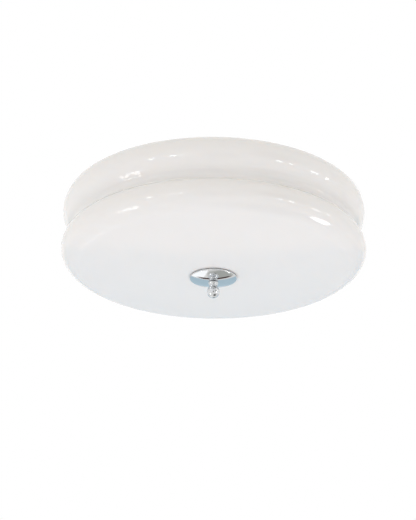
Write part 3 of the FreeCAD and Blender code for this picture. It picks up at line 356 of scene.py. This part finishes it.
# The three bulbs: an opal plastic globe pressed on to a white moulded collar, with a threaded cap
# and a contact tip in black glass. They lie flat under the pan, pointing outwards.

# Opal polycarbonate: milky and satin, so the light goes a little way in before it comes back.
globe_opal = surface("opal_polycarbonate", tones=("F0EFEA", "F6F5F1"), patch=18.0,
                     gloss=(0.28, 0.36), grain=0.8, relief=0.01, IOR=1.58, Subsurface_Weight=0.4,
                     Subsurface_Radius=(1.0, 0.9, 0.8), Subsurface_Scale=0.003)
dress(globe_opal, "bulb_globe_1", "bulb_globe_2", "bulb_globe_3")

# Moulded heat-conducting plastic: plain white, from a mould with a fine spark-eroded texture.
collar_white = surface("spark_textured_white_plastic", tones=("E8E8E5", "F1F1EE"), patch=10.0,
                       gloss=(0.42, 0.56), grain=0.45, relief=0.03, IOR=1.5)
dress(collar_white, "bulb_collar_1", "bulb_collar_2", "bulb_collar_3")
dress(nickel, "bulb_cap_1", "bulb_cap_2", "bulb_cap_3")

# Fused black glass round the tip: nearly black, with a wet gloss.
tip_glass = surface("fused_black_glass", tones=("121113", "232024"), patch=2.0,
                    gloss=(0.08, 0.16), grain=1.0, relief=0.02, IOR=1.52)
dress(tip_glass, "bulb_tip_1", "bulb_tip_2", "bulb_tip_3")


# The opal glass drum: two rounded beads with a waist between them, a gently domed bottom with a
# hole at its middle, and a shoulder turned in to a short collar. It is blown in a mould and its
# edges are fire-polished, so it is one wall of even thickness along tangent arcs.
GLASS_WALL = 3.2
GLASS_HOLE = 6.0
GLASS_BOTTOM = -103.7
BELLY_RADIUS = 1764.0
# each arc of the outside, from the belly to the shoulder: its radius and how far it turns
DRUM_ARCS = [(BELLY_RADIUS, 5.4218), (30.0, 34.7065), (19.2, 107.159), (8.9, -108.317),
             (25.9, 80.799), (11.6, 60.231)]
SHOULDER_END, COLLAR_RADIUS = 176.513, 157.0
SHOULDER_LEVEL, RIM_LEVEL = -4.8, -2.7
EDGE_ROUND = 0.9
DRUM_STEPS = 240
FINEST_STEP, LONGEST_STEP = radians(4.5), 6.0
# points nearer than the weld are made one, and edges shorter than a sliver are closed up
WELD, SLIVER = 0.002, 0.0001


def drawn_profile(start, heading, strokes):
    """Draws a profile in the XZ plane as a wire. A stroke is one length, or a radius and a turn in
    degrees, to the left where it is positive. A radius of 0 only changes the heading."""
    wire = bmesh.new()
    tip = wire.verts.new((start[0] * MM, 0, start[1] * MM))
    heading = radians(heading)
    for stroke in strokes:
        if isinstance(stroke, tuple):
            radius, turn = stroke[0] * MM, radians(stroke[1])
            if radius:
                steps = max(2, ceil(abs(turn) / FINEST_STEP),
                            ceil(abs(turn) * radius / (LONGEST_STEP * MM)))
                to_centre = Vector((-sin(heading), 0, cos(heading))) * radius
                centre = tip.co + (to_centre if turn > 0 else -to_centre)
                swept = bmesh.ops.spin(wire, geom=[tip], cent=centre, axis=(0, -1, 0), angle=turn,
                                       steps=steps)
                tip = next(made for made in swept["geom_last"]
                           if isinstance(made, bmesh.types.BMVert))
            heading += turn
        else:
            grown = bmesh.ops.extrude_vert_indiv(wire, verts=[tip])["verts"]
            ahead = Vector((cos(heading), 0, sin(heading)))
            bmesh.ops.translate(wire, verts=grown, vec=ahead * stroke * MM)
            tip = grown[0]
    return wire


def turned_piece(name, wire, around):
    """Turns a profile about the lamp's axis in a number of steps and closes it."""
    bmesh.ops.spin(wire, geom=wire.verts[:] + wire.edges[:], cent=(0, 0, 0), axis=(0, 0, 1),
                   angle=2 * pi, steps=around, use_merge=True)
    bmesh.ops.remove_doubles(wire, verts=wire.verts, dist=WELD * MM)
    bmesh.ops.dissolve_degenerate(wire, edges=wire.edges, dist=SLIVER * MM)
    bmesh.ops.recalc_face_normals(wire, faces=wire.faces)
    return as_object(name, wire)


def skin_arcs(inset):
    """The drum's arcs on a skin that lies a given depth inside the outer one."""
    return [(radius - inset if turn > 0 else radius + inset, turn) for radius, turn in DRUM_ARCS]


outer, inner = skin_arcs(0), skin_arcs(GLASS_WALL)
outer_hole = degrees(asin(GLASS_HOLE / BELLY_RADIUS))
inner_hole = degrees(asin(GLASS_HOLE / inner[0][0]))
collar_height = RIM_LEVEL - SHOULDER_LEVEL
# up the outside to the shoulder, over the collar's rounded rim, and back down the inside
drum_strokes = [(outer[0][0], outer[0][1] - outer_hole)] + outer[1:]
drum_strokes += [SHOULDER_END - COLLAR_RADIUS - EDGE_ROUND, (EDGE_ROUND, -90.0),
                 collar_height - 2 * EDGE_ROUND, (EDGE_ROUND, 90.0),
                 GLASS_WALL - 2 * EDGE_ROUND, (EDGE_ROUND, 90.0),
                 collar_height + GLASS_WALL - EDGE_ROUND, (0, 90.0),
                 SHOULDER_END - (COLLAR_RADIUS - GLASS_WALL)]
drum_strokes += [(radius, -turn) for radius, turn in reversed(inner[1:])]
drum_strokes += [(inner[0][0], -(inner[0][1] - inner_hole)), (0, 90.0), GLASS_WALL]
drum_start = (GLASS_HOLE, GLASS_BOTTOM + BELLY_RADIUS * (1 - cos(radians(outer_hole))))
drum = turned_piece("opal_drum", drawn_profile(drum_start, outer_hole, drum_strokes), DRUM_STEPS)

# Opal glass is milky all through and fire-polished outside: it looks like white porcelain with a
# wet gloss, and the slow waves that blowing leaves bend the reflections a little.
opal = surface("blown_opal_glass", tones=("F1F0EE", "F4F3F2"), patch=110.0,
               gloss=(0.045, 0.07), grain=45.0, relief=0.15, IOR=1.5, Subsurface_Weight=1.0,
               Subsurface_Radius=(1.0, 0.92, 0.85), Subsurface_Scale=0.004)
stand_in(drum, opal, "glass_shade", "shade")


# The bush in the glass's hole, the stop washer and the stop nut over it: the turned nylon bush
# keeps the rod off the glass, and the washer and nut stop the glass from riding up.
RING_SPACING = 0.25

# Natural nylon: waxy and off-white, with the fine rings of the turning tool.
nylon = surface("turned_natural_nylon", tones=("E3DFD1", "EEEBE0"), patch=5.0,
                gloss=(0.34, 0.46), grain=0.5, relief=0.01, IOR=1.53, Subsurface_Weight=0.3,
                Subsurface_Radius=(1.0, 0.9, 0.7), Subsurface_Scale=0.0015)
rings = put(nylon.tree, "ShaderNodeTexWave",
            {"Vector": nylon.where, "Scale": 2 * pi / (RING_WAVE * RING_SPACING * MM)},
            wave_type="RINGS", rings_direction="Z")
put(nylon.tree, "ShaderNodeBump",
    {"Height": rings.outputs["Fac"], "Distance": 0.01 * MM, "Normal": nylon.bump},
    {"Normal": nylon.shader.inputs["Normal"]})
dress(nylon, "glass_bush")
dress(barrel_zinc, "stop_washer", "stop_nut")


# The washer between the glass and the cap: a thin disc stamped from clear soft vinyl sheet, so that
# metal never bears on glass. Only its edge shows.

# Clear vinyl: see-through and a little grey, with the soft shine of calendered sheet.
vinyl = surface("clear_soft_vinyl", tones=("E6EAEA", "F1F3F3"), patch=6.0,
                gloss=(0.15, 0.25), grain=1.5, relief=0.01, IOR=1.53, Transmission_Weight=0.6)
dress(vinyl, "cap_washer")


# The cap under the drum: a shallow dome with a short upright lip, spun from brass sheet, polished
# and chrome plated like the thumb nuts. The finial pulls it up against a clear washer on the glass.
CAP_RADIUS, CAP_WALL, CAP_DOME, CAP_TOP, CAP_LIP = 29.1, 0.8, 4.3, -104.35, 1.9
CAP_LOWEST = CAP_TOP - CAP_LIP - CAP_DOME
ROD_HOLE = 3.2
CAP_STEPS = 192
# the round between dome and lip, and how much of it lies on the dome
LIP_ROUND, ROUND_ON_DOME = 0.5, 0.75
# the lip's straight runs outside and inside, and the flat on its rounded edge
LIP_OUTSIDE, LIP_INSIDE, LIP_FLAT = 1.02, 0.7, 0.04


def dome_radius(across, depth):
    """The radius of the ball that a shallow dome is cut from."""
    return (across * across + depth * depth) / (2 * depth)


dome_out = dome_radius(CAP_RADIUS, CAP_DOME)
dome_in = dome_radius(CAP_RADIUS - CAP_WALL, CAP_DOME)
out_hole, in_hole = degrees(asin(ROD_HOLE / dome_out)), degrees(asin(ROD_HOLE / dome_in))
out_rim = degrees(asin(CAP_RADIUS / dome_out))
in_rim = degrees(asin((CAP_RADIUS - CAP_WALL) / dome_in))
trim = degrees(LIP_ROUND * ROUND_ON_DOME / dome_out)
edge_round = (CAP_WALL - LIP_FLAT) / 2
cap = turned_piece("chrome_cap", drawn_profile(
    (ROD_HOLE, CAP_LOWEST + dome_out * (1 - cos(radians(out_hole)))), out_hole,
    [(dome_out, out_rim - out_hole - trim), (LIP_ROUND, 90 - out_rim + trim), LIP_OUTSIDE,
     (edge_round, 90.0), LIP_FLAT, (edge_round, 90.0), LIP_INSIDE, (0, -90 + in_rim),
     (dome_in, -(in_rim - in_hole)), (0, 90.0), CAP_WALL]), CAP_STEPS)
stand_in(cap, chrome, "finial_cap", "cap")


# The finial: a rounded ring, a hollowed neck and a ball, turned from one brass bar, polished and
# chrome plated. It is bored and tapped from above and screws on to the rod.
BALL_RADIUS, NECK_RADIUS, COVE_RADIUS = 8.0, 5.6, 5.0
RING_THICK, RING_RADIUS = 3.0, 6.4
FINIAL_TOP, FINIAL_BOTTOM = CAP_LOWEST - 0.1, CAP_LOWEST - 21.0
BORE_RADIUS, BORE_DEPTH = 3.05, 10.0
FINIAL_STEPS = 128

ball_turn = 180 - degrees(asin(NECK_RADIUS / BALL_RADIUS))
neck_low = FINIAL_BOTTOM + BALL_RADIUS * (1 - cos(radians(ball_turn)))
neck_high = FINIAL_TOP - RING_THICK
cove_half = degrees(asin((neck_high - neck_low) / 2 / COVE_RADIUS))
ring_swell = RING_RADIUS - NECK_RADIUS
ring_arc = (RING_THICK ** 2 / 4 + ring_swell ** 2) / (2 * ring_swell)
ring_half = degrees(asin(RING_THICK / 2 / ring_arc))
# from the ball's lowest point up over the cove and the ring, then in and down to the bore's end
finial = turned_piece("chrome_finial", drawn_profile((0, FINIAL_BOTTOM), 0, [
    (BALL_RADIUS, ball_turn), (0, 90 + cove_half - ball_turn), (COVE_RADIUS, -2 * cove_half),
    (0, cove_half - ring_half), (ring_arc, 2 * ring_half), (0, 90 - ring_half),
    NECK_RADIUS - BORE_RADIUS, (0, 90.0), BORE_DEPTH, (0, -90.0), BORE_RADIUS]), FINIAL_STEPS)
stand_in(finial, chrome, "finial_knob", "finial")


# The room: a pale painted floor far below, a white background and a soft, even light that is a
# little cooler from below, a little darker from above and a little stronger from the left.
FLOOR_LEVEL, FLOOR_HALF = -2.4, 8.0
FLOOR_GLOW = 0.2
LIGHT_BELOW, LIGHT_ACROSS, LIGHT_ABOVE = "FDFCFE", "F2EDE9", "D3D0CA"
STRENGTH_LEFT, STRENGTH_RIGHT = 1.14, 1.05

ground = bmesh.new()
bmesh.ops.create_grid(ground, x_segments=1, y_segments=1, size=FLOOR_HALF,
                      matrix=Matrix.Translation((0, 0, FLOOR_LEVEL)))
floor = as_object("pale_floor", ground)
# Rolled floor paint: pale grey and nearly matt. To the eye and to mirrors it is a little brighter,
# so that it meets the white background.
floor_paint = surface("pale_painted_floor", tones=("E9EBED", "EDEEF0"), patch=500.0,
                      gloss=(0.6, 0.75), grain=3.0, relief=0.1)
floor_seen = put(floor_paint.tree, "ShaderNodeLightPath").outputs
floor_shown = put(floor_paint.tree, "ShaderNodeMath",
                  {0: floor_seen["Is Camera Ray"], 1: floor_seen["Is Glossy Ray"]},
                  operation="MAXIMUM")
put(floor_paint.tree, "ShaderNodeMath", {0: floor_shown.outputs[0], 1: FLOOR_GLOW},
    {0: floor_paint.shader.inputs["Emission Strength"]}, operation="MULTIPLY")
floor_paint.shader.inputs["Emission Color"].default_value = linear("FFFFFF")
floor.data.materials.append(floor_paint.material)
# it throws no light back at the lamp: the light from below is the world's
floor.visible_diffuse = False

world = bpy.data.worlds.new("studio")
bpy.context.scene.world = world
world.use_nodes = True
tree = world.node_tree
outward = put(tree, "ShaderNodeSeparateXYZ",
              {"Vector": put(tree, "ShaderNodeTexCoord").outputs["Generated"]}).outputs
below = put(tree, "ShaderNodeMapRange",
            {"Value": outward["Z"], "From Min": -1.0, "From Max": 0.0}).outputs["Result"]
above = put(tree, "ShaderNodeMapRange",
            {"Value": outward["Z"], "From Min": 0.0, "From Max": 1.0}).outputs["Result"]
hue = put(tree, "ShaderNodeMix",
          {"Factor": below, MIX_A: linear(LIGHT_BELOW), MIX_B: linear(LIGHT_ACROSS)},
          data_type="RGBA").outputs[MIX_RESULT]
hue = put(tree, "ShaderNodeMix", {"Factor": above, MIX_A: hue, MIX_B: linear(LIGHT_ABOVE)},
          data_type="RGBA").outputs[MIX_RESULT]
strength = put(tree, "ShaderNodeMapRange",
               {"Value": outward["X"], "From Min": -1.0, "From Max": 1.0,
                "To Min": STRENGTH_LEFT, "To Max": STRENGTH_RIGHT}).outputs["Result"]
ambient = tree.nodes["Background"]
tree.links.new(hue, ambient.inputs["Color"])
tree.links.new(strength, ambient.inputs["Strength"])
# the eye, mirrors and glass see plain white instead
seen = put(tree, "ShaderNodeLightPath").outputs
glance = put(tree, "ShaderNodeMath", {0: seen["Is Camera Ray"], 1: seen["Is Glossy Ray"]},
             operation="MAXIMUM").outputs[0]
glance = put(tree, "ShaderNodeMath", {0: glance, 1: seen["Is Transmission Ray"]},
             operation="MAXIMUM").outputs[0]
white = put(tree, "ShaderNodeBackground", {"Color": linear("FFFFFF"), "Strength": 1.0})
put(tree, "ShaderNodeMixShader", {0: glance, 1: ambient.outputs[0], 2: white.outputs[0]},
    {0: tree.nodes["World Output"].inputs["Surface"]})


# The studio's lamps: a barred window on the left, a round lamp on the right and small spots along
# the wall. They shine only in polished surfaces.
LAMP_MIDDLE = Vector((0, 0, -0.08))
# a reach past every wall, and the soft edge of a shorter reach
WHOLE_ROOM, REACH_EDGE = 9.0, 0.04
# watts of an area lamp for each square metre and each unit of radiance
WATTS_FOR_RADIANCE = 4.0
WINDOW_AWAY = 1.57
# azimuth, elevation, width, height, tilt and radiance of each slat of the window
WINDOW_SLATS = [(-79.6, -37.6, 0.050, 0.36, -35.5, 3.2), (-75.7, -38.6, 0.050, 0.38, -34.5, 3.8),
                (-72.0, -37.6, 0.046, 0.37, -33.1, 4.0), (-68.8, -38.2, 0.046, 0.40, -30.0, 4.0),
                (-65.8, -41.2, 0.110, 0.46, -34.0, 3.8)]
ROUND_LAMP_PLACE = (0.2062, -0.1104, -0.1697)
ROUND_LAMP_TARGET = Vector((0.1224, -0.1358, -0.0891))
# the spots hang on the wall and reach only the side of the glass that faces them
WALL_AWAY, WALL_REACH = 2.6, 2.475
# azimuth, elevation, width, height and radiance of each spot
WALL_SPOTS = [(45.2, -6.0, 0.24, 0.28, 5.0), (53.5, -6.0, 0.16, 0.28, 6.5),
              (72.6, -6.0, 0.20, 0.28, 5.5), (76.6, -6.0, 0.10, 0.26, 4.5),
              (85.2, -6.0, 0.17, 0.28, 5.5), (-43.3, -4.5, 0.20, 0.30, 5.0),
              (-28.2, -4.0, 0.20, 0.30, 5.0), (-21.4, -4.5, 0.16, 0.30, 5.0)]


def around_lamp(azimuth, elevation, away):
    """A place seen from the lamp: azimuth from the camera's side towards the right, in degrees."""
    turn, rise = radians(azimuth), radians(elevation)
    return LAMP_MIDDLE + away * Vector((sin(turn) * cos(rise), -cos(turn) * cos(rise), sin(rise)))


def facing(place, target, width, tall, tilt):
    """The stand of a flat thing that faces a target, leaning to one side by a tilt in degrees."""
    away = (Vector(place) - target).normalized()
    side = Vector((0, 0, 1)).cross(away).normalized()
    top = away.cross(side)
    lean = radians(tilt)
    stand = Matrix(((side * cos(lean) + top * sin(lean)) * width,
                    (top * cos(lean) - side * sin(lean)) * tall, away)).transposed().to_4x4()
    stand.translation = place
    return stand


def in_reach(tree, reach):
    """One for what is nearer than the reach, and nothing past it."""
    away = put(tree, "ShaderNodeLightPath").outputs["Ray Length"]
    return put(tree, "ShaderNodeMapRange",
               {"Value": away, "From Min": reach, "From Max": reach + REACH_EDGE,
                "To Min": 1.0, "To Max": 0.0}).outputs["Result"]


def gleam(name, place, width, tall, tilt, radiance, shape="RECTANGLE", target=LAMP_MIDDLE,
          reach=WHOLE_ROOM):
    """A small flat lamp that is only seen in what is polished and within its reach."""
    lamp = bpy.data.objects.new(name, bpy.data.lights.new(name, "AREA"))
    lamp.data.shape = shape
    lamp.data.size, lamp.data.size_y = width, tall
    area = width * tall * (pi / 4 if shape == "ELLIPSE" else 1)
    lamp.data.energy = WATTS_FOR_RADIANCE * area * radiance
    lamp.data.use_nodes = True
    tree = lamp.data.node_tree
    tree.links.new(in_reach(tree, reach), tree.nodes["Emission"].inputs["Strength"])
    lamp.matrix_world = facing(place, target, 1, 1, tilt)
    lamp.visible_camera = lamp.visible_transmission = lamp.visible_diffuse = False
    bpy.context.scene.collection.objects.link(lamp)


for number, (azimuth, elevation, width, tall, tilt, radiance) in enumerate(WINDOW_SLATS, 1):
    gleam(f"window_slat_{number}", around_lamp(azimuth, elevation, WINDOW_AWAY), width, tall, tilt,
          radiance)
gleam("round_lamp", ROUND_LAMP_PLACE, width=0.050, tall=0.040, tilt=58, radiance=7.0,
      shape="ELLIPSE", target=ROUND_LAMP_TARGET)
for number, (azimuth, elevation, width, tall, radiance) in enumerate(WALL_SPOTS, 1):
    gleam(f"wall_spot_{number}", around_lamp(azimuth, elevation, WALL_AWAY), width, tall, tilt=0,
          radiance=radiance, reach=WALL_REACH)


# The studio's screens: soft-edged sheets that only polished surfaces see. They give the chrome the
# blue, grey and dark bands that a room does, and the glass a darker side.
def screen(name, place, width, tall, tilt, colour, glow, fade, reach=WHOLE_ROOM):
    """A flat sheet that faces the lamp and fades out over a share of its width and height. It
    shows in what is nearer to it than its reach, so that the cap mirrors it and the glass round
    the cap doesn't."""
    sheet = bmesh.new()
    sheet.loops.layers.uv.new("sheet")
    bmesh.ops.create_grid(sheet, x_segments=1, y_segments=1, size=0.5,
                          matrix=facing(place, LAMP_MIDDLE, width, tall, tilt), calc_uvs=True)
    piece = as_object(name, sheet)
    cloth = bpy.data.materials.new(name)
    cloth.use_nodes = True
    tree = cloth.node_tree
    tree.nodes.clear()
    across = put(tree, "ShaderNodeSeparateXYZ",
                 {"Vector": put(tree, "ShaderNodeUVMap", uv_map="sheet").outputs[0]}).outputs
    shown = in_reach(tree, reach)
    for axis in "XY":
        inward = put(tree, "ShaderNodeMath", {0: across[axis], 1: 0.5}, operation="PINGPONG")
        faded = put(tree, "ShaderNodeMapRange", {"Value": inward.outputs[0], "From Max": fade},
                    interpolation_type="SMOOTHSTEP").outputs[0]
        shown = put(tree, "ShaderNodeMath", {0: faded, 1: shown}, operation="MULTIPLY").outputs[0]
    clear = put(tree, "ShaderNodeBsdfTransparent").outputs[0]
    shine = put(tree, "ShaderNodeEmission", {"Color": linear(colour), "Strength": glow}).outputs[0]
    shine = put(tree, "ShaderNodeMixShader", {0: shown, 1: clear, 2: shine}).outputs[0]
    put(tree, "ShaderNodeOutputMaterial", {"Surface": shine})
    piece.data.materials.append(cloth)
    piece.visible_camera = piece.visible_diffuse = piece.visible_shadow = False
    piece.visible_transmission = piece.visible_volume_scatter = False


screen("dark_doorway", around_lamp(44, 10, 2.9), width=2.6, tall=2.2, tilt=0,
       colour="524440", glow=1.0, fade=0.35)
screen("grey_wall", around_lamp(4, -13, 3.0), width=1.8, tall=2.0, tilt=0,
       colour="9A9A98", glow=1.0, fade=0.3)
screen("dark_floor_mat", around_lamp(75, -68, 1.7), width=1.5, tall=1.5, tilt=0,
       colour="6B6C6A", glow=1.0, fade=0.25)
screen("blue_screen", (0.0, 1.26, -0.40), width=3.0, tall=0.86, tilt=0,
       colour="BCD2DE", glow=1.0, fade=0.12)
screen("grey_screen", (0.165, 1.12, -1.24), width=0.71, tall=0.75, tilt=0,
       colour="B6B7B2", glow=1.0, fade=0.12, reach=1.63)
screen("dark_rail", (0.03, 1.18, -0.90), width=0.80, tall=0.13, tilt=4,
       colour="4A3230", glow=1.0, fade=0.22, reach=1.46)
screen("small_spot", (0.389, 0.987, -1.153), width=0.11, tall=0.11, tilt=0,
       colour="FFFFFF", glow=6.0, fade=0.4, reach=1.51)
screen("bright_blind", (-0.40, 1.02, -1.12), width=0.52, tall=0.8, tilt=8,
       colour="FFFFFF", glow=1.3, fade=0.10, reach=1.55)
